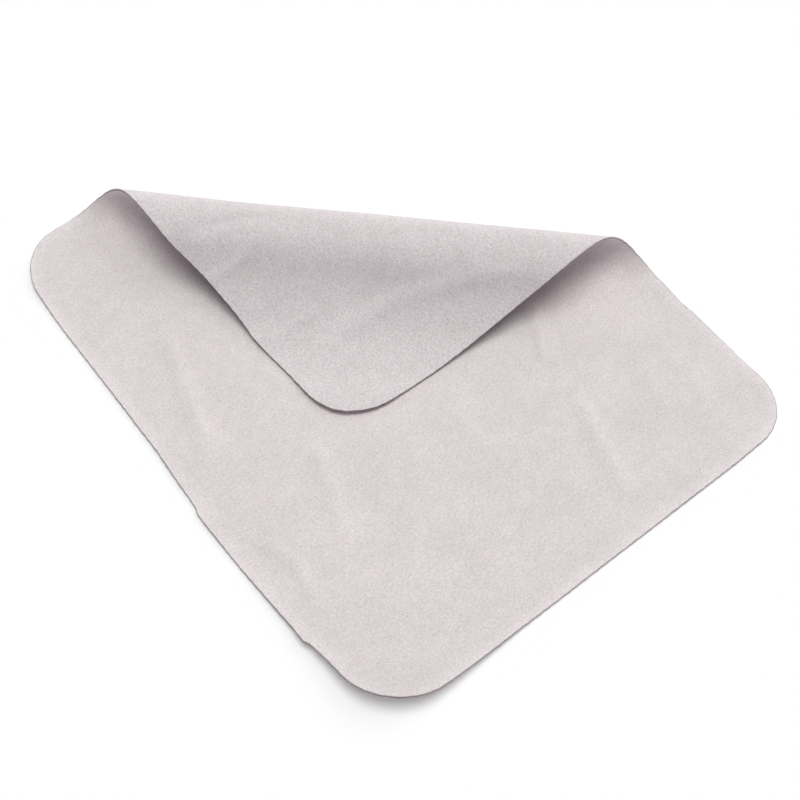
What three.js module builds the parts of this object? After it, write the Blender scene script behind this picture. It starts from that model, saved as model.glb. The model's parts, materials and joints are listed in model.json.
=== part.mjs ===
// A glasses cleaning cloth: one cut of microfibre suede that lies flat, with one corner turned over in a soft
// roll and the opposite corner curling up. Millimetres, +Z up. X runs along the short side of the cut and Y
// along the long side, and the origin is under the middle of the cut, on the table.
//
// All the bends run parallel, so the cloth is one profile swept along straight lines. The near corner of the
// cut is at -X -Y. "Reach" is the distance from that corner across the bends, measured along the flat cloth.
// The cloth is divided where it bends. Each division turns on the one before it about the line where they
// meet, and when every bend is straightened by the same share, the turned corner opens out flat.

import * as THREE from 'three';

// The cut
const CUT_WIDTH = 150;
const CUT_LENGTH = 180;
const CORNER_RADIUS = 17;
const CLOTH_THICKNESS = 0.6;

// The bends, in the order met when walking from the near corner to the turned one
const FOLD_BEARING = 45.5; // degrees, from X to the line across the bends
const CURL_REACH = 39; // the near corner curls up short of this reach
const CURL_RADIUS = 80;
const RISE_REACH = 129; // the cloth leaves the table here
const RISE_LENGTH = 15;
const RISE_ANGLE = 22; // degrees, the slope where the rise meets the roll
const ROLL_RADIUS = 8.6; // at the middle of the thickness
const ROLL_END_ANGLE = 180; // degrees turned at the top of the roll, where the cloth is level again
const SHOULDER_RADIUS = 15;
const SHOULDER_END_ANGLE = 228; // degrees turned where the cloth slopes down most steeply
const DROP_LENGTH = 2; // straight stretch below the shoulder
const LANDING_GAP = 0.4; // clear height between the panel and the lowest line of the flap
const TIP_ANGLE = 174; // degrees turned at the tip, which lifts a little

// The divisions
const LIP_LENGTH = 5; // of the rise, kept on the panel so that the opened corner stays above the table
const ROLL_STRIPS = 5;
const SHOULDER_STRIPS = 2;
const FLAP_PARTS = ['flap_base', 'flap_middle', 'flap_tip'];
const BEND_GAP = 0.3; // clear width between two divisions
const CORNER_STEPS = 14; // facets round a quarter turn of the cut
const BEND_STEP = 7; // degrees of bend in one facet, at most
const ROW_SPACING = 0.1; // between two rows of points, at least
const MERGE_DECIMALS = 4; // points that agree to this many decimals are one point

// The finish
const CLOTH_COLOUR = '#dad1d2';
const CLOTH_ROUGHNESS = 0.95;

const { degToRad, lerp } = THREE.MathUtils;

/** The cut: a rectangle with round corners, from the near corner. */
function cutOutline() {
  const shape = new THREE.Shape();
  const right = CUT_WIDTH - CORNER_RADIUS;
  const far = CUT_LENGTH - CORNER_RADIUS;
  const quarter = Math.PI / 2;
  shape.absarc(CORNER_RADIUS, CORNER_RADIUS, CORNER_RADIUS, 2 * quarter, 3 * quarter);
  shape.absarc(right, CORNER_RADIUS, CORNER_RADIUS, 3 * quarter, 4 * quarter);
  shape.absarc(right, far, CORNER_RADIUS, 0, quarter);
  shape.absarc(CORNER_RADIUS, far, CORNER_RADIUS, quarter, 2 * quarter);
  return shape.getPoints(CORNER_STEPS);
}

/** The outline turned so that x is the reach across the bends and y runs along them. */
const outline = cutOutline().map((point) => point.rotateAround(new THREE.Vector2(), -degToRad(FOLD_BEARING)));
const NEAR_REACH = Math.min(...outline.map((point) => point.x));
const FAR_REACH = Math.max(...outline.map((point) => point.x));

/** Where the straight line at a given reach enters and leaves the cut. */
function lineAcrossCut(reach) {
  const crossings = [];
  outline.forEach((from, index) => {
    const to = outline[(index + 1) % outline.length];
    const low = Math.min(from.x, to.x);
    const high = Math.max(from.x, to.x);
    if (reach < low || reach > high || low === high) return;
    crossings.push(lerp(from.y, to.y, (reach - from.x) / (to.x - from.x)));
  });
  return [Math.min(...crossings), Math.max(...crossings)];
}

/** One stretch of the profile: a straight line where turn is 0, otherwise an arc. */
function stretch(start, length, turn) {
  const at = (along) => {
    const angle = start.angle + (turn * along) / length;
    const radius = length / turn;
    const across = turn === 0
      ? along * Math.cos(angle)
      : radius * (Math.sin(angle) - Math.sin(start.angle));
    const up = turn === 0
      ? along * Math.sin(angle)
      : radius * (Math.cos(start.angle) - Math.cos(angle));
    return { reach: start.reach + along, across: start.across + across, up: start.up + up, angle };
  };
  return { from: start.reach, length, turn, at, end: at(length) };
}

/** The whole profile. The flap's landing arc is as wide as it takes to come down to the panel. */
function clothProfile() {
  const middle = CLOTH_THICKNESS / 2;
  const curlTurn = CURL_REACH / CURL_RADIUS;
  const corner = {
    reach: 0,
    across: CURL_REACH - CURL_RADIUS * Math.sin(curlTurn),
    up: middle + CURL_RADIUS * (1 - Math.cos(curlTurn)),
    angle: -curlTurn,
  };
  const curl = stretch(corner, CURL_REACH, curlTurn);
  const flat = stretch(curl.end, RISE_REACH - CURL_REACH, 0);
  const rise = stretch(flat.end, RISE_LENGTH, degToRad(RISE_ANGLE));
  const rollTurn = degToRad(ROLL_END_ANGLE - RISE_ANGLE);
  const roll = stretch(rise.end, ROLL_RADIUS * rollTurn, rollTurn);
  const shoulderTurn = degToRad(SHOULDER_END_ANGLE - ROLL_END_ANGLE);
  const shoulder = stretch(roll.end, SHOULDER_RADIUS * shoulderTurn, shoulderTurn);
  const drop = stretch(shoulder.end, DROP_LENGTH, 0);
  const slope = drop.end.angle - Math.PI;
  const landedHeight = middle + CLOTH_THICKNESS + LANDING_GAP;
  const landingRadius = (drop.end.up - landedHeight) / (1 - Math.cos(slope));
  const landingTurn = degToRad(TIP_ANGLE) - drop.end.angle;
  const landing = stretch(drop.end, -landingRadius * landingTurn, landingTurn);
  const tip = stretch(landing.end, FAR_REACH, 0);
  return { curl, flat, rise, roll, shoulder, drop, landing, tip };
}

const profile = clothProfile();
const stretches = Object.values(profile);

/** The point of the profile at a given reach, with the angle turned there. */
function profileAt(reach) {
  const here = stretches.findLast((one) => one.from <= reach) ?? stretches[0];
  return here.at(reach - here.from);
}

/** The reaches at which a division from one reach to another needs a row of points. */
function rowReaches(from, to) {
  const wanted = outline.map((point) => point.x);
  for (const { from: start, length, turn } of stretches) {
    const facets = Math.ceil(Math.abs(turn) / degToRad(BEND_STEP)) || 1;
    for (let facet = 0; facet <= facets; facet += 1) {
      wanted.push(start + (length * facet) / facets);
    }
  }
  const rows = [from];
  for (const reach of wanted.sort((a, b) => a - b)) {
    if (reach - rows.at(-1) > ROW_SPACING && to - reach > ROW_SPACING) rows.push(reach);
  }
  return [...rows, to];
}

/** The four corners of the cloth's section along one straight line, relative to a pivot. */
function sectionAt(reach, pivot) {
  const { across, up, angle } = profileAt(reach);
  const [start, end] = lineAcrossCut(reach);
  const corner = (along, side) => new THREE.Vector3(
    across - pivot.across - (side * CLOTH_THICKNESS * Math.sin(angle)) / 2,
    along,
    up - pivot.up + (side * CLOTH_THICKNESS * Math.cos(angle)) / 2,
  );
  return [corner(start, 1), corner(end, 1), corner(end, -1), corner(start, -1)];
}

/** A closed piece of cloth between two reaches. Where the cut ends in a point, the section closes to one. */
function clothGeometry(from, to, pivot) {
  const positions = [];
  const numbers = new Map();
  const numberOf = (point) => {
    const key = point.toArray().map((value) => value.toFixed(MERGE_DECIMALS)).join(' ');
    if (!numbers.has(key)) {
      numbers.set(key, positions.length / 3);
      positions.push(...point.toArray());
    }
    return numbers.get(key);
  };
  const rows = rowReaches(from, to).map((reach) => sectionAt(reach, pivot).map(numberOf));
  const triangles = [];
  const addQuad = (a, b, c, d) => {
    for (const triangle of [[a, b, c], [a, c, d]]) {
      if (new Set(triangle).size === 3) triangles.push(...triangle);
    }
  };
  rows.slice(1).forEach((next, index) => {
    const row = rows[index];
    for (let side = 0; side < 4; side += 1) {
      const following = (side + 1) % 4;
      addQuad(row[side], next[side], next[following], row[following]);
    }
  });
  addQuad(...rows[0]);
  addQuad(...rows.at(-1).toReversed());
  const geometry = new THREE.BufferGeometry();
  geometry.setAttribute('position', new THREE.Float32BufferAttribute(positions, 3));
  geometry.setIndex(triangles);
  geometry.computeVertexNormals();
  return geometry;
}

/** Equal divisions of a length of the cloth, each with its name and the reach where it starts. */
function equalDivisions(names, from, to) {
  return names.map((name, index) => ({ name, from: lerp(from, to, index / names.length) }));
}

/** Names of like strips, numbered from 1. */
function numbered(name, count) {
  return Array.from({ length: count }, (_, index) => `${name}_${index + 1}`);
}

/** All the divisions in order, each with the reaches where it starts and ends. */
function divisions() {
  const { rise, roll, shoulder, drop } = profile;
  const list = [
    { name: 'main_panel', from: NEAR_REACH },
    { name: 'fold_rise', from: rise.from + LIP_LENGTH },
    ...equalDivisions(numbered('fold_roll', ROLL_STRIPS), roll.from, shoulder.from),
    ...equalDivisions(numbered('fold_shoulder', SHOULDER_STRIPS), shoulder.from, drop.from),
    ...equalDivisions(FLAP_PARTS, drop.from, FAR_REACH),
  ];
  return list.map((one, index) => ({ ...one, to: list[index + 1]?.from ?? FAR_REACH }));
}

/** The slope of the straight line from the start of a division to its end. */
function chordAngle({ from, to }) {
  const start = profileAt(from);
  const end = profileAt(to);
  const angle = Math.atan2(end.up - start.up, end.across - start.across);
  return angle < -Math.PI / 2 ? angle + 2 * Math.PI : angle;
}

/** The cloth as a chain: each division hangs in a pivot on the line where it meets the one before it. */
function foldedCloth() {
  const cloth = new THREE.Group();
  cloth.rotation.z = degToRad(FOLD_BEARING);
  cloth.position.set(-CUT_WIDTH / 2, -CUT_LENGTH / 2, 0);
  let carrier = cloth;
  let carrierPoint = { across: 0, up: 0 };
  let carrierAngle = 0;
  for (const division of divisions()) {
    const { name, from, to } = division;
    const isFirst = from === NEAR_REACH;
    const point = isFirst ? carrierPoint : profileAt(from);
    const angle = isFirst ? 0 : chordAngle(division);
    const pivot = new THREE.Group();
    pivot.position.set(point.across - carrierPoint.across, 0, point.up - carrierPoint.up);
    pivot.userData = { bend: angle - carrierAngle };
    const start = isFirst ? from : from + BEND_GAP / 2;
    const end = to === FAR_REACH ? to : to - BEND_GAP / 2;
    const suede = new THREE.MeshStandardMaterial({ color: CLOTH_COLOUR, roughness: CLOTH_ROUGHNESS });
    const mesh = new THREE.Mesh(clothGeometry(start, end, point), suede);
    mesh.name = name;
    pivot.add(mesh);
    carrier.add(pivot);
    carrier = pivot;
    carrierPoint = point;
    carrierAngle = angle;
  }
  return cloth;
}

const part = new THREE.Group();
part.add(foldedCloth());

export default part;
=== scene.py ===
"""Looks of a glasses cleaning cloth: one cut of microfibre suede, with one corner turned over in a soft roll.

The cloth is one curved sheet. It is made in eleven pieces that meet without a step, because each piece
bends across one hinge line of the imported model. "Reach" is the distance from the near corner across the
bends, measured along the flat cloth, and "along" runs with the bends. "u" and "v" are a point's place on
the flat cut, from the left side and from the front side. Metres, +Z up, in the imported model's own frame.
"""

import json
import math
import bpy
import numpy as np
from bpy.props import FloatProperty, FloatVectorProperty, PointerProperty
from bpy.types import Operator, Panel, PropertyGroup
from mathutils import Matrix, Vector

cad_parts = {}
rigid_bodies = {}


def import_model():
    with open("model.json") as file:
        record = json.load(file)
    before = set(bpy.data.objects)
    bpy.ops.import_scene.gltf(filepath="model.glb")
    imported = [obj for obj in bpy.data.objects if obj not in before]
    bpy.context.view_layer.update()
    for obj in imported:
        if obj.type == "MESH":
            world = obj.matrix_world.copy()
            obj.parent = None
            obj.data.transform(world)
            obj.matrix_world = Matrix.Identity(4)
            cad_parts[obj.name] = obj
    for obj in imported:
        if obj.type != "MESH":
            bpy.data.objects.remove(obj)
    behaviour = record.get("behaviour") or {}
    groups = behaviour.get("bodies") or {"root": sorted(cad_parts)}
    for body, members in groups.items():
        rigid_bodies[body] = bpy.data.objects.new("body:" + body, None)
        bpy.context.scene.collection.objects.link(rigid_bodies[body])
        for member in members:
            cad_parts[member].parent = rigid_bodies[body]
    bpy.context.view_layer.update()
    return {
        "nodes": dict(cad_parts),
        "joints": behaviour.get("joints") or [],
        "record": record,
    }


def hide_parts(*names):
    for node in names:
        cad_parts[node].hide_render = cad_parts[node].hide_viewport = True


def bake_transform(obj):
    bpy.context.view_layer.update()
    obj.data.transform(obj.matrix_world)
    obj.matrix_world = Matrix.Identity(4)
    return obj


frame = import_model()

bl_info = {
    "name": "Glasses Cleaning Cloth",
    "version": (1, 0, 0),
    "blender": (4, 5, 0),
    "location": "3D View > Sidebar > Cloth",
    "description": "Builds a folded suede cleaning cloth round its packed frame",
    "category": "Object",
}

FLAT_MAP = "FlatCut"
HIGHLIGHT_MAP = "WornNap"
MM = 0.001

# Places of the three finishes on a piece
FACE, BACK, EDGE = range(3)

# How far the hand-guided cut strays from a straight line, in millimetres: (place along the side, inwards)
LEFT_STRAY = [
    (0, -0.9), (12, -0.7), (17, -0.6), (22, -0.6), (25, -0.8), (27.5, -0.9), (29.3, -1.75), (31, -1.6),
    (34, -1.3), (38, -1.35), (46, -1.45), (54, -1.6), (66, -1.65), (72, -1.65), (74.5, -1.55),
    (76.5, -0.85), (79, -0.6), (86, -0.25), (90, 0.05), (98, 0.7), (106, 0.85), (114, 1.1), (122, 1.3),
    (130, 1.45), (138, 1.65), (146, 1.75), (154, 2.1), (162, 2.6), (170, 3.2), (180, 3.2),
]
FRONT_STRAY = [
    (0, -0.9), (18, -0.9), (26, -0.6), (34, -0.3), (42, -0.1), (50, -0.1), (62, -0.25), (74, -0.35),
    (86, -0.55), (98, -0.7), (110, -0.85), (122, -1.0), (130, -0.8), (150, -0.3),
]
RIGHT_STRAY = [
    (0, 0), (17, 0.8), (22, 0.65), (26, 0.2), (30, -0.1), (36, -0.55), (42, -0.7), (46, -0.2),
    (54, -0.35), (58, 0.1), (62, 0.15), (66, 0.4), (75, 0.4), (86, 0.5), (120, 0.5), (165, 0.5),
    (180, 0.3),
]
BACK_STRAY = [
    (0, 0), (14, -0.4), (18, 0.1), (22, 0.3), (30, 0.4), (38, 0.4), (45, 0.1), (54, -0.1), (74, -0.1),
    (77, 0.2), (79, 0.45), (84, 0.8), (87, 1.0), (99, 1.15), (104, 0.9), (109, 0.45), (114, 0.5),
    (119, 0.7), (125, 0.9), (130, 0.7), (135, 0.55), (140, 0.05), (144, -0.35), (147, 0), (150, 0.4),
]
STRAY_PLACES = np.arange(-10, 190.01, 0.5)
STRAY_SPREAD = 1.0  # in places

# Heights of the fine fray along the cut, in millimetres
COARSE_FRAY = 0.05
FINE_FRAY = 0.035

# Soft creases in the cloth as it lies, in millimetres: (height, half width, places on the flat cut).
# A height below zero is a groove.
PANEL_CREASES = [
    (0.72, 4.0, [(27, 138), (25, 129), (23, 121), (20, 112), (17, 102), (13, 89), (11, 82)]),
    (0.66, 4.2, [(38, 80), (35, 71), (33, 64), (30, 57), (27, 49), (23, 41)]),
    (0.62, 3.2, [(7, 61), (10, 54), (11, 49), (10, 43), (9, 38), (10, 32)]),
    (0.78, 4.0, [(105, 46), (102, 37), (100, 31), (97, 25), (95, 18), (93, 11), (91, 4)]),
    (0.30, 3.0, [(136, 41), (134, 24), (127, 12)]),
    (0.30, 3.0, [(128, 42), (123, 30), (119, 20)]),
    (0.52, 2.7, [(116, 74), (112, 68), (109, 63), (106, 58), (103, 52)]),
]
TURNED_CREASES = [
    (0.19, 3.0, [(124, 182), (123, 168), (123, 162), (124, 155), (125, 149), (126, 143), (128, 137),
                 (130, 132), (133, 126), (135, 121), (138, 116), (141, 110), (145, 102)]),
    (-0.20, 1.8, [(74, 174), (77, 167), (79, 162), (82, 157), (85, 152)]),
    (0.15, 2.0, [(88, 186), (88, 178), (89, 170), (89, 162)]),
    (0.16, 2.0, [(112, 182), (113, 174), (113, 166), (115, 158)]),
]
CREASE_FADE = 0.25  # share of a crease's length over which each end runs out

# How far the ridge sags between its ends, in millimetres: (place along the ridge, distance downwards)
RIDGE_SAG = [
    (-54, -0.25), (-44, -0.28), (-36, -0.25), (-26, -0.15), (-10, -0.05), (10, -0.05), (25, 0),
    (40, 0.2), (56, 0.4), (66, 0.3), (75, 0.15), (85, 0), (95, 0),
]
SAG_PLACES = np.arange(-120, 121)
SAG_SPREAD = 4.0  # in places

# Soft waves of the panel: radians per metre of u and of v, and where each starts in radians
WAVES = [(210, 95, 0.6), (-120, 260, 2.1), (330, 310, 0)]

# Where the relief acts, in metres
LIFT_RADIUS = 0.042  # round the lifted left corner
LIFT_POWER = 1.3
RIM_LIFT_WIDTH = 0.006
CALM_REACH = 0.080  # from here on the rim comes down and the waves grow weaker
CALM_LENGTH = 0.030
CALMED_SHARE = 0.7  # of the waves' height
RIDGE_BACK = 0.006  # from the start of the shoulder back to the ridge
RIDGE_HALF_WIDTH = 0.016
TURNED_BACK = 0.010  # from the start of the shoulder back to the turned corner's first creases

# The table of the profile and the searches on the cut, in metres
PROFILE_START = -0.02
PROFILE_END = 0.26
PROFILE_STEP = 0.00002
TIP_SEARCH = np.linspace(-0.012, 0.012, 481)  # places along, beside a corner's middle
TIP_HALVINGS = 40
ROW_HALVINGS = 48
SLOPE_STEP = 0.00004  # to each side, for the slope of the surface
INSET_STEP = 0.0001  # to each side, for the way out of the cut
TINY = 1e-12  # added to a length before dividing by it

# Rows and columns of the mesh, in metres
PANEL_ROWS = 0.0007
FOLD_ROWS = 0.0005
CORNER_ROWS = 0.0009
TIP_TURNS = np.radians(np.arange(2.5, 52, 3.5))  # rows at a tip, by the angle turned round it
EDGE_COLUMNS = np.array([0.0, 0.15, 0.4, 0.9, 1.8, 3.2]) * MM  # from the cut edge
MIDDLE_COLUMNS = 140
NARROW_ROW = 0.024  # a shorter row draws its edge columns together
AREA_ROWS = 2000  # for the panel's flat area
TIP_CLEARANCE = 1e-6  # keeps the first of those rows off the tip

# The cut edge
EDGE_ROUNDING = 0.0006  # width over which the cloth grows thinner
EDGE_BULGE = 0.00005
WALL_SHARE = 0.5  # of half the thickness, where the wall's points stand
WALL_LEAN = 0.35  # of the wall's normals towards the faces
RIM_LEAN = 0.8  # of the faces' last normals outwards

# The finish
FACE_BUMP = 0.25
BACK_BUMP = 0.4
EDGE_BUMP = 0.5
NAP_HEIGHT = 0.0002
EDGE_NAP_SHARE = 0.6  # of the faces' nap size
SHEEN_ROUGHNESS = 0.6
SPECULAR = 0.2
# Painted highlight along the roll: its palest line and its width
HIGHLIGHT_BACK = 0.010  # from the start of the shoulder back to the palest line of the roll
HIGHLIGHT_WIDTH = 0.011

# The stage
FLOOR_HALF = 2.0
FLOOR_SQUARES = 8
FLOOR_DROP = 0.0001
SENSOR_WIDTH = 36  # millimetres
VIEW_RANGE = 0.01, 20  # nearest and farthest that the camera sees


# Sizes and colours

class ClothSizes(PropertyGroup):
    """Sizes of the cut, of its bends and of the relief on it."""

    cut_width: FloatProperty(name="Cut Width", description="Short side of the flat cut",
                             default=0.150, unit="LENGTH")
    cut_length: FloatProperty(name="Cut Length", description="Long side of the flat cut",
                              default=0.180, unit="LENGTH")
    corner_radius: FloatProperty(name="Corner Radius", description="Round of the cut's corners",
                                 default=0.017, unit="LENGTH")
    thickness: FloatProperty(name="Thickness", description="Thickness of the suede",
                             default=0.0006, unit="LENGTH", precision=5)
    edge_thickness: FloatProperty(name="Edge Thickness", description="Thickness at the cut edge",
                                  default=0.00056, unit="LENGTH", precision=5)
    fold_bearing: FloatProperty(name="Fold Bearing",
                                description="Direction across the bends, from the short side",
                                default=math.radians(45.5), subtype="ANGLE")
    curl_reach: FloatProperty(name="Curl Reach", description="The near corner curls up short of this reach",
                              default=0.039, unit="LENGTH")
    curl_radius: FloatProperty(name="Curl Radius", description="Radius of the near corner's curl",
                               default=0.080, unit="LENGTH")
    rise_reach: FloatProperty(name="Rise Reach", description="The cloth leaves the table at this reach",
                              default=0.129, unit="LENGTH")
    rise_length: FloatProperty(name="Rise Length", description="Length of the rise before the roll",
                               default=0.015, unit="LENGTH")
    rise_angle: FloatProperty(name="Rise Angle", description="Slope where the rise meets the roll",
                              default=math.radians(22), subtype="ANGLE")
    lip_length: FloatProperty(name="Lip Length", description="Part of the rise that stays with the panel",
                              default=0.005, unit="LENGTH")
    roll_radius: FloatProperty(name="Roll Radius",
                               description="Radius of the roll, at the middle of the thickness",
                               default=0.0086, unit="LENGTH")
    roll_end_angle: FloatProperty(name="Roll End Angle", description="Angle turned at the top of the roll",
                                  default=math.radians(180), subtype="ANGLE")
    shoulder_radius: FloatProperty(name="Shoulder Radius",
                                   description="Radius of the wider bend after the roll",
                                   default=0.015, unit="LENGTH")
    shoulder_end_angle: FloatProperty(name="Shoulder End Angle",
                                      description="Angle turned at the steepest slope",
                                      default=math.radians(228), subtype="ANGLE")
    drop_length: FloatProperty(name="Drop Length", description="Straight stretch below the shoulder",
                               default=0.002, unit="LENGTH")
    landing_gap: FloatProperty(name="Landing Gap", description="Clear height under the turned corner",
                               default=0.0004, unit="LENGTH", precision=5)
    tip_angle: FloatProperty(name="Tip Angle", description="Angle turned at the tip",
                             default=math.radians(174), subtype="ANGLE")
    bend_softness: FloatProperty(name="Bend Softness",
                                 description="How softly one bend passes into the next",
                                 default=0.0012, unit="LENGTH", precision=5)
    corner_lift: FloatProperty(name="Corner Lift", description="Height of the lifted left corner",
                               default=0.0020, unit="LENGTH", precision=5)
    rim_lift: FloatProperty(name="Rim Lift", description="Height of the panel's cut edge above the table",
                            default=0.0003, unit="LENGTH", precision=5)
    wave_height: FloatProperty(name="Wave Height", description="Height of the soft waves in the panel",
                               default=0.00015, unit="LENGTH", precision=5)
    crease_show: FloatProperty(name="Crease Show",
                               description="How strongly the light shows the creases",
                               default=2.6)
    # Painted highlight: its strength on crease crests and its width along the cut edge
    crest_height: FloatProperty(name="Crest Height",
                                description="Height at which a crease's painted highlight is as pale as the rim's",
                                default=0.0010, unit="LENGTH", precision=5)
    rim_width: FloatProperty(name="Rim Width", description="Width of the painted highlight along the cut edge",
                             default=0.0045, unit="LENGTH", precision=5)


class ClothFinish(PropertyGroup):
    """Colours and textures of the suede."""

    face_tone: FloatVectorProperty(name="Face Tone", description="Lighter tone of the upper face",
                                   default=(0.742, 0.680, 0.686), subtype="COLOR")
    face_deep_tone: FloatVectorProperty(name="Face Deep Tone", description="Deeper tone of the upper face",
                                        default=(0.688, 0.628, 0.634), subtype="COLOR")
    back_tone: FloatVectorProperty(name="Back Tone", description="Lighter tone of the underside",
                                   default=(0.752, 0.696, 0.704), subtype="COLOR")
    back_deep_tone: FloatVectorProperty(name="Back Deep Tone", description="Deeper tone of the underside",
                                        default=(0.694, 0.641, 0.648), subtype="COLOR")
    # The cut edge's tones: partly the edge's own darker colour, partly painted shade of the dark line along
    # it
    edge_tone_and_shade: FloatVectorProperty(name="Edge Tone And Shade", description="Lighter tone of the cut edge, with painted shade",
                                   default=(0.36, 0.308, 0.317), subtype="COLOR")
    edge_deep_tone_and_shade: FloatVectorProperty(name="Edge Deep Tone And Shade", description="Deeper tone of the cut edge, with painted shade",
                                        default=(0.25, 0.207, 0.215), subtype="COLOR")
    patch_size: FloatProperty(name="Patch Size", description="Width of the soft tonal patches",
                              default=0.016, unit="LENGTH")
    nap_size: FloatProperty(name="Nap Size", description="Width of the suede's fine grain",
                            default=0.0006, unit="LENGTH", precision=5)
    back_lean: FloatProperty(name="Back Lean",
                             description="Lean of the underside's nap towards the turned corner",
                             default=math.radians(13), subtype="ANGLE")
    # Painted highlight: how much paler the middle of the roll is painted
    painted_bend_highlight: FloatProperty(name="Bend Bloom",
                              description="How much paler the painted highlight makes the middle of the roll",
                              default=0.23)
    # Painted highlight on the crests of creases and along the cut edge
    crest_rim_highlight: FloatProperty(name="Crest Rim Highlight",
                              description="How much paler the painted highlight makes crests and the cut edge",
                              default=0.09)
    face_fleck: FloatProperty(name="Face Fleck", description="Depth of the upper face's grain",
                              default=0.40)
    back_fleck: FloatProperty(name="Back Fleck", description="Depth of the underside's grain",
                              default=0.54)
    edge_fleck: FloatProperty(name="Edge Fleck", description="Depth of the cut edge's grain",
                              default=0.30)
    fleck_tint: FloatProperty(name="Fleck Tint", description="Change of hue from fleck to fleck",
                              default=0.14)
    sheen: FloatProperty(name="Sheen", description="Pale edge of the nap seen side on",
                         default=0.2)


class StageLook(PropertyGroup):
    """Camera, light and floor."""

    target: FloatVectorProperty(name="Target", description="Point that the camera looks at",
                                default=(-0.0124873, -0.0192506, 0.0003), subtype="TRANSLATION", precision=5)
    azimuth: FloatProperty(name="Azimuth", description="Direction from the target to the camera, from +X",
                           default=-2.32649, subtype="ANGLE")
    elevation: FloatProperty(name="Elevation", description="Camera's height above the horizon",
                             default=0.96938, subtype="ANGLE")
    tilt: FloatProperty(name="Tilt", description="Camera's turn about its own view line",
                        default=0.08331, subtype="ANGLE")
    distance: FloatProperty(name="Distance", description="From the target to the camera",
                            default=0.32297, unit="LENGTH")
    lens: FloatProperty(name="Lens", description="Focal length in millimetres, on a 36 mm sensor",
                        default=52.57)
    floor_tone: FloatVectorProperty(name="Floor Tone", description="Colour of the floor",
                                    default=(0.92, 0.92, 0.92), subtype="COLOR")
    floor_glow: FloatProperty(name="Floor Glow",
                              description="White added to the floor as the camera sees it",
                              default=0.08)
    dome_tint: FloatVectorProperty(name="Dome Tint", description="Tint of the even light",
                                   default=(0.962, 0.906, 1.0), subtype="COLOR")
    dome_strength: FloatProperty(name="Dome Strength", description="Even light from all round",
                                 default=0.265)
    key_tint: FloatVectorProperty(name="Key Tint",
                                  description="Tint of the soft light, which balances the even light's",
                                  default=(0.976, 1.0, 0.961), subtype="COLOR")
    key_strength: FloatProperty(name="Key Strength", description="Soft light from above",
                                default=1.981)
    key_bearing: FloatProperty(name="Key Bearing", description="Direction of the soft light, from +X",
                               default=math.radians(-120), subtype="ANGLE")
    key_height: FloatProperty(name="Key Height", description="Soft light's height above the horizon",
                              default=math.radians(87), subtype="ANGLE")
    key_spread: FloatProperty(name="Key Spread", description="Width of the soft light in the sky",
                              default=math.radians(36), subtype="ANGLE")
    side_strength: FloatProperty(name="Side Strength", description="Weak light from behind on the right",
                                 default=0.52)
    side_bearing: FloatProperty(name="Side Bearing", description="Direction of the weak light, from +X",
                                default=math.radians(5), subtype="ANGLE")
    side_height: FloatProperty(name="Side Height", description="Weak light's height above the horizon",
                               default=math.radians(52), subtype="ANGLE")
    side_spread: FloatProperty(name="Side Spread", description="Width of the weak light in the sky",
                               default=math.radians(45), subtype="ANGLE")


# The shape of the cloth

def smooth(t):
    """0 below 0, 1 above 1, and an even curve between them."""
    t = np.clip(t, 0, 1)
    return t * t * (3 - 2 * t)


def soften(values, spread):
    """The values smoothed by a bell curve, whose spread is given in samples."""
    half = math.ceil(4 * spread)
    bell = np.exp(-0.5 * (np.arange(-half, half + 1) / spread) ** 2)
    return np.convolve(np.pad(values, half, mode="edge"), bell / bell.sum(), mode="valid")


def stray_curve(points):
    """A soft curve through the stray of one side of the cut, as two lists in metres."""
    place = STRAY_PLACES
    stray = soften(np.interp(place, *np.array(points, float).T), STRAY_SPREAD)
    coarse = COARSE_FRAY * np.sin(place * 1.9 + 0.7 * np.sin(place * 0.61))
    fray = coarse + FINE_FRAY * np.sin(place * 3.1 + 2.0)
    return place * MM, (stray + fray) * MM


def crease_height(u, v, height, half_width, places):
    """Height of one crease, which falls off to both sides and towards its ends."""
    line = np.array(places, float) * MM
    lengths = np.hypot(*np.diff(line, axis=0).T)
    passed = np.concatenate([[0], np.cumsum(lengths)]) / lengths.sum()
    nearest, place = np.full(np.shape(u), np.inf), np.zeros(np.shape(u))
    for index, length in enumerate(lengths):
        (u0, v0), (du, dv) = line[index], line[index + 1] - line[index]
        share = np.clip(((u - u0) * du + (v - v0) * dv) / length ** 2, 0, 1)
        distance = np.hypot(u - u0 - share * du, v - v0 - share * dv)
        on = passed[index] + share * (passed[index + 1] - passed[index])
        place, nearest = np.where(distance < nearest, on, place), np.minimum(distance, nearest)
    crest = height * MM * np.exp(-(nearest / (half_width * MM)) ** 2)
    return crest * smooth(place / CREASE_FADE) * smooth((1 - place) / CREASE_FADE)


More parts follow.
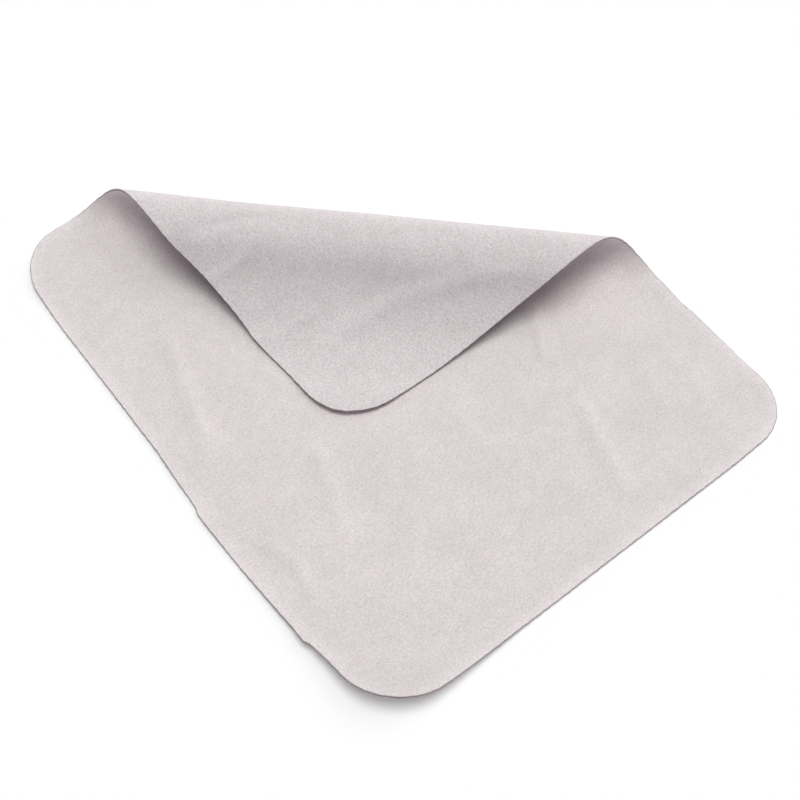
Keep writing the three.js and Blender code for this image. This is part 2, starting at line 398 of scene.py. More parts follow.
class ClothShape:
    """The cloth's surface, from its sizes."""

    def __init__(self, sizes):
        self.sizes = sizes
        self.cos, self.sin = math.cos(sizes.fold_bearing), math.sin(sizes.fold_bearing)
        self.sides = [stray_curve(points) for points in (LEFT_STRAY, FRONT_STRAY, RIGHT_STRAY, BACK_STRAY)]
        self.bend_profile()
        radius = sizes.corner_radius
        right, back = sizes.cut_width - radius, sizes.cut_length - radius
        self.far = self.cos * right + self.sin * back + radius
        self.tips = [
            self.tip((self.cos + self.sin) * radius, (self.cos - self.sin) * radius, -1),
            self.tip(self.cos * right + self.sin * back, self.cos * back - self.sin * right, 1),
        ]

    def bend_profile(self):
        """The profile across the bends as a table, from the angle turned at the end of each bend."""
        s = self.sizes
        middle = s.thickness / 2
        rise, roll, shoulder = s.rise_angle, s.roll_end_angle, s.shoulder_end_angle
        lowest = middle + s.thickness + s.landing_gap
        drop = (s.rise_length / rise * (1 - math.cos(rise))
                + s.roll_radius * (math.cos(rise) - math.cos(roll))
                + s.shoulder_radius * (math.cos(roll) - math.cos(shoulder))
                + s.drop_length * math.sin(shoulder)
                + middle - lowest)
        landing_radius = drop / (1 + math.cos(shoulder))
        lengths = [s.curl_reach, s.rise_reach - s.curl_reach, s.rise_length, s.roll_radius * (roll - rise),
                   s.shoulder_radius * (shoulder - roll), s.drop_length,
                   landing_radius * (shoulder - s.tip_angle)]
        ends = np.concatenate([[0], np.cumsum(lengths)])
        turned = [-s.curl_reach / s.curl_radius, 0, 0, rise, roll, shoulder, shoulder, s.tip_angle]
        self.roll_start, self.shoulder_start, self.drop_start = ends[3:6]
        reach = np.arange(PROFILE_START, PROFILE_END, PROFILE_STEP)
        angle = soften(np.interp(reach, ends, turned), s.bend_softness / PROFILE_STEP)
        across, up = np.cumsum([np.cos(angle), np.sin(angle)], axis=1) * PROFILE_STEP
        flat = np.searchsorted(reach, (s.curl_reach + s.rise_reach) / 2)
        self.table = reach, across - across[flat] + reach[flat], up - up[flat] + middle, angle

    def profile(self, reach):
        """Across, up and angle of the cloth's middle at each reach."""
        return [np.interp(reach, self.table[0], column) for column in self.table[1:]]

    def flat_place(self, reach, along):
        """The place on the flat cut."""
        return reach * self.cos - along * self.sin, reach * self.sin + along * self.cos

    def inset(self, reach, along):
        """Distance inside the cut's edge, below zero outside it."""
        u, v = self.flat_place(reach, along)
        left, front, right, back = self.sides
        radius = self.sizes.corner_radius
        x = np.minimum(u - np.interp(v, *left), self.sizes.cut_width - u - np.interp(v, *right))
        y = np.minimum(v - np.interp(u, *front), self.sizes.cut_length - v - np.interp(u, *back))
        corner = radius - np.hypot(np.maximum(radius - x, 0), np.maximum(radius - y, 0))
        return np.where((x < radius) & (y < radius), corner, np.minimum(x, y))

    def tip(self, reach, along, way):
        """The cut's last point across the bends, near or far: its reach and its place along."""
        beside = along + TIP_SEARCH
        inside, outside = reach, reach + way * 2 * self.sizes.corner_radius
        for _ in range(TIP_HALVINGS):
            half = (inside + outside) / 2
            inside, outside = (half, outside) if self.inset(half, beside).max() > 0 else (inside, half)
        return inside, beside[self.inset(inside, beside).argmax()]

    def row_ends(self, reach):
        """Where the straight line at each reach enters and leaves the cut."""
        middle = np.interp(reach, *zip(*self.tips))
        ends = []
        for way in (-1, 1):
            inside, outside = middle.copy(), middle + way * 2 * self.sizes.cut_length
            for _ in range(ROW_HALVINGS):
                half = (inside + outside) / 2
                within = self.inset(reach, half) > 0
                inside, outside = np.where(within, half, inside), np.where(within, outside, half)
            ends.append(inside)
        return ends

    def relief(self, reach, along, crease_show=1.0):
        """How far the cloth stands off its plain bends: lifted edges, waves, the ridge's sag and creases."""
        u, v = self.flat_place(reach, along)
        s = self.sizes
        from_corner = np.hypot(u, s.cut_length - v)
        lift = s.corner_lift * smooth(1 - from_corner / LIFT_RADIUS) ** LIFT_POWER
        wave = sum(np.sin(u * by_u + v * by_v + start) for by_u, by_v, start in WAVES) / len(WAVES)
        calm = smooth((reach - CALM_REACH) / CALM_LENGTH)
        rim = s.rim_lift * (1 - smooth(self.inset(reach, along) / RIM_LIFT_WIDTH)) * (1 - calm)
        height = lift + rim + s.wave_height * (1 + wave) * (1 - CALMED_SHARE * calm)
        sag = soften(np.interp(SAG_PLACES, *np.array(RIDGE_SAG).T), SAG_SPREAD) * MM
        on_ridge = smooth(1 - np.abs(reach - self.shoulder_start + RIDGE_BACK) / RIDGE_HALF_WIDTH)
        height = height + on_ridge * np.interp(along, SAG_PLACES * MM, sag)
        on_panel, on_turned = self.creases(reach, along)
        return height + crease_show * (on_panel - on_turned)

    def creases(self, reach, along):
        """Heights of the creases that stand up from the panel and from the turned corner."""
        u, v = self.flat_place(reach, along)
        turned = reach > self.shoulder_start - TURNED_BACK
        on_panel = sum(crease_height(u, v, *crease) for crease in PANEL_CREASES)
        on_turned = sum(crease_height(u, v, *crease) for crease in TURNED_CREASES)
        return np.where(turned, 0, on_panel), np.where(turned, on_turned, 0)

    def middle(self, reach, along, crease_show=1.0):
        """The middle of the thickness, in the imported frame."""
        across, up, angle = self.profile(reach)
        off = self.relief(reach, along, crease_show)
        across, up = across - off * np.sin(angle), up + off * np.cos(angle)
        x = across * self.cos - along * self.sin - self.sizes.cut_width / 2
        y = across * self.sin + along * self.cos - self.sizes.cut_length / 2
        return np.stack([x, y, up], -1)

    def tangents(self, reach, along, crease_show=1.0):
        """Unit directions across the bends, along them and out of the upper face."""
        step = SLOPE_STEP
        across = self.middle(reach + step, along, crease_show) - self.middle(reach - step, along, crease_show)
        beside = self.middle(reach, along + step, crease_show) - self.middle(reach, along - step, crease_show)
        out = np.cross(across, beside)
        return [way / np.linalg.norm(way, axis=-1, keepdims=True) for way in (across, beside, out)]

    def strips(self):
        """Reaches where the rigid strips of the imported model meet, the two tips included."""
        starts = (self.roll_start, self.shoulder_start, self.drop_start, self.far)
        ends = [[self.tips[0][0], self.sizes.rise_reach + self.sizes.lip_length]]
        for part, start, end in zip(("fold_roll", "fold_shoulder", "flap_"), starts, starts[1:]):
            count = sum(name.startswith(part) for name in frame["nodes"])
            ends.append(np.linspace(start, end, count + 1)[:-1])
        return np.concatenate([*ends, [self.far]])

    def seams(self):
        """Reaches where the pieces meet: the middles of the strips, so that no bend runs over a seam."""
        ends = self.strips()
        (near, _), (far, _) = self.tips
        return np.concatenate([[near], (ends[1:-2] + ends[2:-1]) / 2, [far]])


# Mesh

def row_reaches(shape, start, end, spacing):
    """Rows of points of one piece, close together where the cut ends in a round tip."""
    rows = np.linspace(start, end, max(2, math.ceil((end - start) / spacing) + 1))
    radius = shape.sizes.corner_radius
    tip = radius * (1 - np.cos(TIP_TURNS))
    if start == shape.tips[0][0]:
        rows = np.concatenate([start + tip, rows[rows > start + tip[-1] + spacing / 2]])
    if end == shape.tips[1][0]:
        rows = np.concatenate([rows[rows < end - tip[-1] - spacing / 2], (end - tip)[::-1]])
    return rows


def row_columns(low, high):
    """Places of the columns along each row, close together at both edges."""
    width = (high - low)[:, None]
    edge = EDGE_COLUMNS * np.minimum(1, width / NARROW_ROW)
    inner = np.linspace(0, 1, MIDDLE_COLUMNS + 2)[1:-1]
    middle = edge[:, -1:] + inner * (width - 2 * edge[:, -1:])
    return low[:, None] + np.concatenate([edge, middle, (width - edge)[:, ::-1]], axis=1)


def cut_outward(shape, reach, along, across, beside):
    """Unit directions in the cloth that lead out of the cut."""
    step = INSET_STEP
    slope_across = shape.inset(reach + step, along) - shape.inset(reach - step, along)
    slope_along = shape.inset(reach, along + step) - shape.inset(reach, along - step)
    outward = -(slope_across[..., None] * across + slope_along[..., None] * beside)
    return outward / (np.linalg.norm(outward, axis=-1, keepdims=True) + TINY)


def ring(top, high_wall, bottom, low_wall):
    """Values once round the cloth in each row: upper face, wall, underside on the way back, other wall."""
    return np.concatenate([top, np.stack(high_wall, 1), bottom[:, ::-1], np.stack(low_wall, 1)], axis=1)


def cloth_rings(shape, reach, along):
    """Points, normals, flat places and painted highlight, each once round the cloth in every row."""
    sizes = shape.sizes
    middle = shape.middle(reach, along)
    across, beside, out = shape.tangents(reach, along)
    outward = cut_outward(shape, reach, along, across, beside)
    inset = np.maximum(shape.inset(reach, along), 0)
    share = sizes.edge_thickness / sizes.thickness
    half = (sizes.thickness / 2 * (share + (1 - share) * np.sqrt(smooth(inset / EDGE_ROUNDING))))[..., None]

    # Two points of the rounded wall at each end of a row
    walls, wall_normals = [], []
    for end_column, order in ((-1, (1, -1)), (0, (-1, 1))):
        out_of_cut, out_of_face = outward[:, end_column], out[:, end_column]
        crest = middle[:, end_column] + out_of_cut * EDGE_BULGE
        for side in order:
            walls.append(crest + side * out_of_face * half[:, end_column] * WALL_SHARE)
            wall_normals.append(out_of_cut + side * WALL_LEAN * out_of_face)
    points = ring(middle + half * out, walls[:2], middle - half * out, walls[2:])

    # Normals that show the creases more strongly than their height does
    shown = shape.tangents(reach, along, sizes.crease_show)[2]
    face_normals, back_normals = shown.copy(), -shown
    for face in (face_normals, back_normals):
        face[:, [0, -1]] += RIM_LEAN * outward[:, [0, -1]]
    normals = ring(face_normals, wall_normals[:2], back_normals, wall_normals[2:])
    normals /= np.linalg.norm(normals, axis=-1, keepdims=True)

    flat = np.stack(shape.flat_place(reach, along), -1)
    flat = ring(flat, [flat[:, -1]] * 2, flat, [flat[:, 0]] * 2)
    # Painted highlight: paler along the cut edge and on the crests of creases
    on_face, on_back = (np.maximum(height, 0) / sizes.crest_height for height in shape.creases(reach, along))
    painted_highlight = 1 - smooth(inset / sizes.rim_width) + on_face
    painted_highlight = ring(painted_highlight, [painted_highlight[:, -1]] * 2, on_back, [painted_highlight[:, 0]] * 2)
    return points, normals, flat, painted_highlight


def end_caps(number, columns, across):
    """Faces that close a piece at its first and last row, and the normals at their corners."""
    top, bottom = number[:, :columns], number[:, columns + 2:2 * columns + 2][:, ::-1]
    caps, normals = [], []
    for row, way in ((0, 1), (-1, -1)):
        cap = np.stack([top[row, :-1], top[row, 1:], bottom[row, 1:], bottom[row, :-1]], -1)
        high = [top[row, -1], number[row, columns], number[row, columns + 1], bottom[row, -1]]
        low = [bottom[row, 0], number[row, -2], number[row, -1], top[row, 0]]
        caps.append(np.concatenate([cap, [high, low]])[:, ::way])
        facing = -way * np.concatenate([across[row, :-1], across[row, [-1, 0]]])
        normals.append(np.repeat(facing, 4, axis=0))
    return np.concatenate(caps), np.concatenate(normals)


def finish_places(columns, around):
    """Which finish each face of a row has. The upper face's outermost strips take the cut edge's darker
    finish, which widens the painted shade along the edge.
    """
    spot = np.arange(around)
    upper = (spot > 0) & (spot < columns - 2)
    under = (spot > columns + 1) & (spot < 2 * columns + 1)
    return np.where(upper, FACE, np.where(under, BACK, EDGE))


def cloth_mesh(shape, name, start, end, spacing):
    """One closed piece of cloth between two reaches, with the upper face, the underside and the cut edge."""
    reach = row_reaches(shape, start, end, spacing)
    along = row_columns(*shape.row_ends(reach))
    count, columns = along.shape
    reach = np.repeat(reach[:, None], columns, axis=1)
    points, normals, flat, painted_highlight = cloth_rings(shape, reach, along)

    around = points.shape[1]
    number = np.arange(count * around).reshape(count, around)
    turned = np.roll(number, -1, axis=1)
    sides = np.stack([number[:-1], number[1:], turned[1:], turned[:-1]], -1).reshape(-1, 4)
    ends = [0, -1]
    caps, cap_normals = end_caps(number, columns, shape.tangents(reach[ends], along[ends])[0])
    faces = np.concatenate([sides, caps])
    finishes = np.concatenate([np.tile(finish_places(columns, around), count - 1), np.full(len(caps), EDGE)])
    split = np.concatenate([normals.reshape(-1, 3)[sides.reshape(-1)], cap_normals])
    corner_places = flat.reshape(-1, 2)[faces.reshape(-1)]

    mesh = bpy.data.meshes.new(name)
    mesh.from_pydata(points.reshape(-1, 3), [], faces)
    mesh.polygons.foreach_set("material_index", finishes.astype(np.int32))
    mesh.polygons.foreach_set("use_smooth", np.ones(len(faces), bool))
    flat_map = mesh.uv_layers.new(name=FLAT_MAP)
    flat_map.data.foreach_set("uv", corner_places.astype(np.float32).ravel())
    highlight_layer = mesh.attributes.new(HIGHLIGHT_MAP, "FLOAT", "POINT")
    highlight_layer.data.foreach_set("value", painted_highlight.astype(np.float32).ravel())
    mesh.update()
    mesh.normals_split_custom_set(split.astype(np.float32).tolist())
    if mesh.validate():
        raise RuntimeError(f"{name} has a bad face")
    return mesh


def panel_area(sizes):
    """Flat area of the panel's own piece of the cut."""
    shape = ClothShape(sizes)
    seams = shape.seams()
    reach = np.linspace(seams[0] + TIP_CLEARANCE, seams[1], AREA_ROWS)
    low, high = shape.row_ends(reach)
    return float(np.trapz(high - low, reach))


def add_cloth_piece(context, index, name, spacing):
    """Makes the piece that bends across one hinge line, and hides the CAD strips that it stands for."""
    shape = ClothShape(context.scene.cloth_sizes)
    seams, strips = shape.seams(), shape.strips()
    start, end, hinge = seams[index], seams[index + 1], strips[index + 1]
    piece = bpy.data.objects.new(name, cloth_mesh(shape, name, start, end, spacing))
    context.scene.collection.objects.link(piece)
    finish = context.scene.cloth_finish
    for material in (face_material(finish), back_material(finish, shape), edge_material(finish)):
        piece.data.materials.append(material)
    joint = frame["joints"][index]
    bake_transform(piece)
    bodies = frame["record"]["behaviour"]["bodies"]
    nodes = list(bodies[joint["parent"]])
    if index == len(frame["joints"]) - 1:
        nodes += bodies[joint["child"]]
    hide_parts(*nodes)


# Materials

def add_node(tree, kind, values=None, **settings):
    """Adds a shader node with its settings and the values of its sockets."""
    node = tree.nodes.new(kind)
    for key, value in settings.items():
        setattr(node, key, value)
    for socket, value in (values or {}).items():
        node.inputs[socket].default_value = value
    return node


def join(tree, wires):
    """Links nodes. A wire is a node and its output, then a node and its input."""
    for source, output, target, entry in wires:
        tree.links.new(source.outputs[output], target.inputs[entry])


def node_group(name, inputs, outputs):
    """A new node group with its sockets and its two end nodes."""
    tree = bpy.data.node_groups.new(name, "ShaderNodeTree")
    for way, sockets in (("INPUT", inputs), ("OUTPUT", outputs)):
        for socket, kind in sockets.items():
            tree.interface.new_socket(socket, in_out=way, socket_type=kind)
    return tree, tree.nodes.new("NodeGroupInput"), tree.nodes.new("NodeGroupOutput")


def mottle_group():
    """Soft tonal patches, as where the nap lies one way or the other."""
    if found := bpy.data.node_groups.get("Suede Mottle"):
        return found
    tree, start, end = node_group(
        "Suede Mottle",
        {"Flat": "NodeSocketVector", "Tone": "NodeSocketColor", "Deep Tone": "NodeSocketColor",
         "Patch Scale": "NodeSocketFloat"},
        {"Color": "NodeSocketColor"},
    )
    broad = add_node(tree, "ShaderNodeTexNoise", {"Detail": 3.0, "Roughness": 0.55, "Distortion": 0.3})
    finer = add_node(tree, "ShaderNodeTexNoise", {"Detail": 2.0, "Roughness": 0.5})
    scale = add_node(tree, "ShaderNodeMath", {1: 4.5}, operation="MULTIPLY")
    total = add_node(tree, "ShaderNodeMath", {1: 0.55}, operation="MULTIPLY_ADD")
    share = add_node(tree, "ShaderNodeMath", {1: 0.45}, operation="MULTIPLY")
    spread = add_node(tree, "ShaderNodeMapRange", {"From Min": 0.33, "From Max": 0.67},
                      interpolation_type="SMOOTHSTEP")
    mix = add_node(tree, "ShaderNodeMix", data_type="RGBA")
    join(tree, [
        (start, "Flat", broad, "Vector"),
        (start, "Patch Scale", broad, "Scale"),
        (start, "Flat", finer, "Vector"),
        (start, "Patch Scale", scale, 0),
        (scale, 0, finer, "Scale"),
        (finer, "Fac", share, 0),
        (broad, "Fac", total, 0),
        (share, 0, total, 2),
        (total, 0, spread, "Value"),
        (spread, "Result", mix, "Factor"),
        (start, "Deep Tone", mix, "A"),
        (start, "Tone", mix, "B"),
        (mix, "Result", end, "Color"),
    ])
    return tree


def nap_group():
    """The suede's short nap: its height, the shade of its flecks and its roughness."""
    if found := bpy.data.node_groups.get("Suede Nap"):
        return found
    tree, start, end = node_group(
        "Suede Nap",
        {"Flat": "NodeSocketVector", "Nap Scale": "NodeSocketFloat", "Fleck Depth": "NodeSocketFloat",
         "Fleck Tint": "NodeSocketFloat", "Color": "NodeSocketColor"},
        {"Color": "NodeSocketColor", "Height": "NodeSocketFloat", "Roughness": "NodeSocketFloat"},
    )
    nap = add_node(tree, "ShaderNodeTexNoise", {"Detail": 4.0, "Roughness": 0.65, "Distortion": 0.6})
    fleck = add_node(tree, "ShaderNodeTexNoise", {"Detail": 2.0, "Roughness": 0.6})
    scale = add_node(tree, "ShaderNodeMath", {1: 0.8}, operation="MULTIPLY")
    pits = add_node(tree, "ShaderNodeMapRange", {"From Min": 0.58, "From Max": 0.74},
                    interpolation_type="SMOOTHSTEP")
    depth = add_node(tree, "ShaderNodeMath", {1: 0.25}, operation="MULTIPLY_ADD")
    grain = add_node(tree, "ShaderNodeMapRange",
                     {"From Min": 0.25, "From Max": 0.75, "To Min": -0.5, "To Max": 0.5})
    shade = add_node(tree, "ShaderNodeMath", operation="MULTIPLY")
    light = add_node(tree, "ShaderNodeMath", {0: 1.0}, operation="SUBTRACT")
    colour = add_node(tree, "ShaderNodeVectorMath", operation="SCALE")
    hue = add_node(tree, "ShaderNodeVectorMath", {1: (0.5, 0.5, 0.5)}, operation="SUBTRACT")
    tint = add_node(tree, "ShaderNodeVectorMath", operation="SCALE")
    tinted = add_node(tree, "ShaderNodeVectorMath", operation="MULTIPLY_ADD")
    height = add_node(tree, "ShaderNodeMath", {1: 0.6}, operation="MULTIPLY")
    level = add_node(tree, "ShaderNodeMath", operation="SUBTRACT")
    rough = add_node(tree, "ShaderNodeMapRange", {"To Min": 0.86, "To Max": 0.98})
    join(tree, [
        (start, "Flat", nap, "Vector"),
        (start, "Nap Scale", nap, "Scale"),
        (start, "Flat", fleck, "Vector"),
        (start, "Nap Scale", scale, 0),
        (scale, 0, fleck, "Scale"),
        (fleck, "Fac", pits, "Value"),
        (pits, "Result", depth, 0),
        (nap, "Fac", grain, "Value"),
        (grain, "Result", depth, 2),
        (depth, 0, shade, 0),
        (start, "Fleck Depth", shade, 1),
        (shade, 0, light, 1),
        (start, "Color", colour, 0),
        (light, 0, colour, "Scale"),
        (nap, "Color", hue, 0),
        (hue, 0, tint, 0),
        (start, "Fleck Tint", tint, "Scale"),
        (colour, 0, tinted, 0),
        (tint, 0, tinted, 1),
        (colour, 0, tinted, 2),
        (tinted, 0, end, "Color"),
        (pits, "Result", height, 0),
        (nap, "Fac", level, 0),
        (height, 0, level, 1),
        (level, 0, end, "Height"),
        (nap, "Fac", rough, "Value"),
        (rough, "Result", end, "Roughness"),
    ])
    return tree


def bend_highlight_group():
    """Painted highlight along a bend: palest at the bend's middle, and less so to both sides."""
    if found := bpy.data.node_groups.get("Bend Bloom"):
        return found
    tree, start, end = node_group(
        "Bend Bloom",
        {"Color": "NodeSocketColor", "Flat": "NodeSocketVector", "Way Across": "NodeSocketVector",
         "Middle": "NodeSocketFloat", "Width": "NodeSocketFloat", "Bloom": "NodeSocketFloat"},
        {"Color": "NodeSocketColor"},
    )
    reach = add_node(tree, "ShaderNodeVectorMath", operation="DOT_PRODUCT")
    off = add_node(tree, "ShaderNodeMath", operation="SUBTRACT")
    distance = add_node(tree, "ShaderNodeMath", operation="ABSOLUTE")
    bell = add_node(tree, "ShaderNodeMapRange", {"To Max": 0.0}, interpolation_type="SMOOTHSTEP")
    gain = add_node(tree, "ShaderNodeMath", {1: 1.0}, operation="ADD")
    colour = add_node(tree, "ShaderNodeVectorMath", operation="SCALE")
    join(tree, [
        (start, "Flat", reach, 0),
        (start, "Way Across", reach, 1),
        (reach, "Value", off, 0),
        (start, "Middle", off, 1),
        (off, 0, distance, 0),
        (distance, 0, bell, "Value"),
        (start, "Width", bell, "From Max"),
        (start, "Bloom", bell, "To Min"),
        (bell, "Result", gain, 0),
        (start, "Color", colour, 0),
        (gain, 0, colour, "Scale"),
        (colour, 0, end, "Color"),
    ])
    return tree


def suede_material(name, finish, tone, deep_tone, fleck_depth, bump, nap_size):
    """A suede finish: soft patches, short nap, a faint sheen, and a painted highlight on crests and along the
    cut edge.
    """
    if found := bpy.data.materials.get(name):
        return found
    material = bpy.data.materials.new(name)
    material.use_nodes = True
    tree = material.node_tree
    shader = tree.nodes["Principled BSDF"]
    shader.inputs["Sheen Weight"].default_value = finish.sheen
    shader.inputs["Sheen Roughness"].default_value = SHEEN_ROUGHNESS
    shader.inputs["Specular IOR Level"].default_value = SPECULAR
    flat = add_node(tree, "ShaderNodeUVMap", uv_map=FLAT_MAP)
    mottle = add_node(
        tree, "ShaderNodeGroup",
        {"Tone": (*tone, 1), "Deep Tone": (*deep_tone, 1), "Patch Scale": 1 / finish.patch_size},
        node_tree=mottle_group(),
    )
    nap = add_node(
        tree, "ShaderNodeGroup",
        {"Nap Scale": 1 / nap_size, "Fleck Depth": fleck_depth, "Fleck Tint": finish.fleck_tint},
        node_tree=nap_group(),
    )
    # Painted highlight on crests and along the cut edge, read from the mesh
    painted_highlight = add_node(tree, "ShaderNodeAttribute", attribute_name=HIGHLIGHT_MAP)
    gain = add_node(tree, "ShaderNodeMath", {1: finish.crest_rim_highlight, 2: 1.0}, operation="MULTIPLY_ADD")
    pale = add_node(tree, "ShaderNodeVectorMath", operation="SCALE")
    bumps = add_node(tree, "ShaderNodeBump", {"Strength": bump, "Distance": NAP_HEIGHT})
    join(tree, [
        (flat, "UV", mottle, "Flat"),
        (flat, "UV", nap, "Flat"),
        (mottle, "Color", nap, "Color"),
        (painted_highlight, "Fac", gain, 0),
        (nap, "Color", pale, 0),
        (gain, 0, pale, "Scale"),
        (pale, 0, shader, "Base Color"),
        (nap, "Roughness", shader, "Roughness"),
        (nap, "Height", bumps, "Height"),
        (bumps, "Normal", shader, "Normal"),
    ])
    return material


def face_material(finish):
    """The upper face, with the shallower grain."""
    return suede_material("Suede Face", finish, finish.face_tone, finish.face_deep_tone,
                          finish.face_fleck, FACE_BUMP, finish.nap_size)


def back_material(finish, shape):
    """The underside, which the turned corner shows: its nap leans one way, and a painted highlight pales the
    middle of the roll.
    """
    if found := bpy.data.materials.get("Suede Back"):
        return found
    material = suede_material("Suede Back", finish, finish.back_tone, finish.back_deep_tone,
                              finish.back_fleck, BACK_BUMP, finish.nap_size)
    tree = material.node_tree
    nodes = {node.bl_idname: node for node in tree.nodes}
    kinds = ("ShaderNodeUVMap", "ShaderNodeBsdfPrincipled", "ShaderNodeBump")
    flat, shader, bumps = (nodes[kind] for kind in kinds)
    pale = shader.inputs["Base Color"].links[0].from_node
    # Painted highlight along the middle of the roll
    roll_highlight = add_node(
        tree, "ShaderNodeGroup",
        {"Way Across": (shape.cos, shape.sin, 0), "Middle": shape.shoulder_start - HIGHLIGHT_BACK,
         "Width": HIGHLIGHT_WIDTH, "Bloom": finish.painted_bend_highlight},
        node_tree=bend_highlight_group(),
    )
    slope = -math.tan(finish.back_lean)
    rise = add_node(tree, "ShaderNodeVectorMath", {1: (slope * shape.cos, slope * shape.sin, 0)},
                    operation="DOT_PRODUCT")
    lean = add_node(tree, "ShaderNodeBump", {"Strength": 1.0, "Distance": 1.0})
    join(tree, [
        (flat, "UV", roll_highlight, "Flat"),
        (pale, 0, roll_highlight, "Color"),
        (roll_highlight, "Color", shader, "Base Color"),
        (flat, "UV", rise, 0),
        (rise, "Value", lean, "Height"),
        (lean, "Normal", bumps, "Normal"),
    ])
    return material


def edge_material(finish):
    """The cut edge, where the fibre ends show: partly its own darker colour, partly painted shade of the dark
    line along the edge.
    """
    return suede_material("Suede Cut Edge", finish, finish.edge_tone_and_shade, finish.edge_deep_tone_and_shade,
                          finish.edge_fleck, EDGE_BUMP, finish.nap_size * EDGE_NAP_SHARE)


# Stage

def background_seen(tree):
    """A node that puts out 1 for rays that see the background as it is: camera, gloss and glass rays."""
    path = add_node(tree, "ShaderNodeLightPath")
    either = add_node(tree, "ShaderNodeMath", operation="MAXIMUM")
    seen = add_node(tree, "ShaderNodeMath", operation="MAXIMUM")
    join(tree, [
        (path, "Is Camera Ray", either, 0),
        (path, "Is Glossy Ray", either, 1),
        (either, 0, seen, 0),
        (path, "Is Transmission Ray", seen, 1),
    ])
    return seen


def add_floor(scene, look):
    """A wide pale floor just under the cloth, which keeps its shadow."""
    line = np.linspace(-FLOOR_HALF, FLOOR_HALF, FLOOR_SQUARES + 1)
    points = [(x, y, 0.0) for y in line for x in line]
    row = len(line)
    starts = [y * row + x for y in range(FLOOR_SQUARES) for x in range(FLOOR_SQUARES)]
    faces = [(i, i + 1, i + row + 1, i + row) for i in starts]
    mesh = bpy.data.meshes.new("floor")
    mesh.from_pydata(points, [], faces)
    floor = bpy.data.objects.new("floor", mesh)
    floor.location.z = -FLOOR_DROP
    scene.collection.objects.link(floor)
    material = bpy.data.materials.new("Pale Floor")
    material.use_nodes = True
    tree = material.node_tree
    tree.nodes.remove(tree.nodes["Principled BSDF"])
    paint = add_node(tree, "ShaderNodeBsdfDiffuse", {"Color": (*look.floor_tone, 1)})
    glow = add_node(tree, "ShaderNodeEmission")
    share = add_node(tree, "ShaderNodeMath", {1: look.floor_glow}, operation="MULTIPLY")
    both = add_node(tree, "ShaderNodeAddShader")
    join(tree, [
        (background_seen(tree), 0, share, 0),
        (share, 0, glow, "Strength"),
        (paint, 0, both, 0),
        (glow, 0, both, 1),
        (both, 0, tree.nodes["Material Output"], "Surface"),
    ])
    mesh.materials.append(material)


def add_world(scene, look):
    """Even light from all round, seen as white."""
    world = bpy.data.worlds.new("Soft Dome")
    world.use_nodes = True
    scene.world = world
    tree = world.node_tree
    dome = tree.nodes["Background"]
    dome.inputs["Color"].default_value = (*look.dome_tint, 1)
    dome.inputs["Strength"].default_value = look.dome_strength
    white = add_node(tree, "ShaderNodeBackground", {"Color": (1, 1, 1, 1), "Strength": 1.0})
    mix = add_node(tree, "ShaderNodeMixShader")
    join(tree, [
        (background_seen(tree), 0, mix, 0),
        (dome, 0, mix, 1),
        (white, 0, mix, 2),
        (mix, 0, tree.nodes["World Output"], "Surface"),
    ])


def add_soft_light(scene, name, strength, bearing, height, spread):
    """One wide soft light, far away in the given direction. Returns its lamp."""
    lamp = bpy.data.lights.new(name, "SUN")
    lamp.energy = strength
    lamp.angle = spread
    light = bpy.data.objects.new(name, lamp)
    level = math.cos(height)
    toward = Vector((level * math.cos(bearing), level * math.sin(bearing), math.sin(height)))
    light.rotation_euler = toward.to_track_quat("Z", "Y").to_euler()
    light.location = toward
    scene.collection.objects.link(light)
    return lamp


def add_camera(scene, look):
    """The camera, at the height and turn from which the cloth is seen."""
    level = math.cos(look.elevation)
    back = Vector((level * math.cos(look.azimuth), level * math.sin(look.azimuth), math.sin(look.elevation)))
    right = Vector((-math.sin(look.azimuth), math.cos(look.azimuth), 0))
    up = back.cross(right)
    turn, lean = math.cos(look.tilt), math.sin(look.tilt)
    right, up = turn * right + lean * up, turn * up - lean * right
    lens = bpy.data.cameras.new("camera")
    lens.lens = look.lens
    lens.sensor_width = SENSOR_WIDTH
    lens.clip_start, lens.clip_end = VIEW_RANGE
    camera = bpy.data.objects.new("camera", lens)
    camera.matrix_world = (Matrix.Translation(Vector(look.target) + back * look.distance)
                           @ Matrix((right, up, back)).transposed().to_4x4())
    scene.collection.objects.link(camera)
    scene.camera = camera


# Operators and panel

class CLOTH_OT_lay_panel(Operator):
    """Lay the main panel, with its curled and lifted corners"""

    bl_idname = "cloth.lay_panel"
    bl_label = "Lay Panel"

    def execute(self, context):
        add_cloth_piece(context, 0, "cloth_panel", PANEL_ROWS)
        return {"FINISHED"}


class CLOTH_OT_roll_fold(Operator):
    """Roll the cloth over: the rise, the round roll and its shoulder"""

    bl_idname = "cloth.roll_fold"
    bl_label = "Roll Fold"

    def execute(self, context):
        for index, joint in enumerate(frame["joints"]):
            if joint["parent"].startswith(("rise", "roll", "shoulder")):
                add_cloth_piece(context, index, f"cloth_{joint['parent']}", FOLD_ROWS)
        return {"FINISHED"}


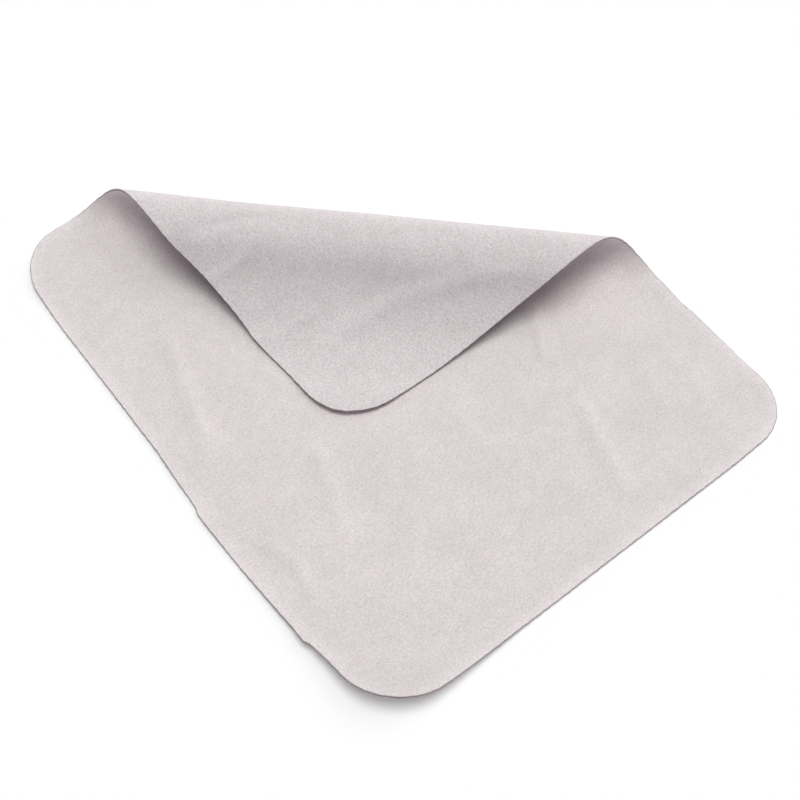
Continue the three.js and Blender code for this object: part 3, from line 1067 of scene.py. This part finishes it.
class CLOTH_OT_turn_corner(Operator):
    bl_idname = "cloth.turn_corner"
    bl_label = "Turn Corner"

    def execute(self, context):
        hinges = len(frame["joints"])
        add_cloth_piece(context, hinges - 2, "cloth_flap", CORNER_ROWS)
        add_cloth_piece(context, hinges - 1, "cloth_tip", CORNER_ROWS)
        sizes = context.scene.cloth_sizes
        panel_area(sizes)
        return {"FINISHED"}


class CLOTH_OT_set_stage(Operator):
    """Set the floor, the light and the camera"""

    bl_idname = "cloth.set_stage"
    bl_label = "Set Stage"

    def execute(self, context):
        scene, look = context.scene, context.scene.cloth_stage
        scene.view_settings.view_transform = "Standard"
        add_floor(scene, look)
        add_world(scene, look)
        key = add_soft_light(scene, "soft_key", look.key_strength, look.key_bearing, look.key_height,
                             look.key_spread)
        key.color = look.key_tint
        add_soft_light(scene, "soft_side", look.side_strength, look.side_bearing, look.side_height,
                       look.side_spread)
        add_camera(scene, look)
        return {"FINISHED"}


class CLOTH_PT_sidebar(Panel):
    """Lists the steps that build the cloth"""

    bl_idname = "CLOTH_PT_sidebar"
    bl_label = "Cleaning Cloth"
    bl_space_type = "VIEW_3D"
    bl_region_type = "UI"
    bl_category = "Cloth"

    def draw(self, context):
        for step in STEPS:
            self.layout.operator(step.bl_idname)
        for group in (context.scene.cloth_sizes, context.scene.cloth_finish, context.scene.cloth_stage):
            box = self.layout.box()
            for key in group.__annotations__:
                box.prop(group, key)


GROUPS = {"cloth_sizes": ClothSizes, "cloth_finish": ClothFinish, "cloth_stage": StageLook}
STEPS = (CLOTH_OT_set_stage, CLOTH_OT_lay_panel, CLOTH_OT_roll_fold, CLOTH_OT_turn_corner)


def register():
    for key, group in GROUPS.items():
        bpy.utils.register_class(group)
        setattr(bpy.types.Scene, key, PointerProperty(type=group))
    for item in (*STEPS, CLOTH_PT_sidebar):
        bpy.utils.register_class(item)


def unregister():
    for item in (CLOTH_PT_sidebar, *reversed(STEPS)):
        bpy.utils.unregister_class(item)
    for key, group in reversed(GROUPS.items()):
        delattr(bpy.types.Scene, key)
        bpy.utils.unregister_class(group)


def main():
    register()
    bpy.ops.cloth.set_stage()
    bpy.ops.cloth.lay_panel()
    bpy.ops.cloth.roll_fold()
    bpy.ops.cloth.turn_corner()


if __name__ == "__main__":
    main()
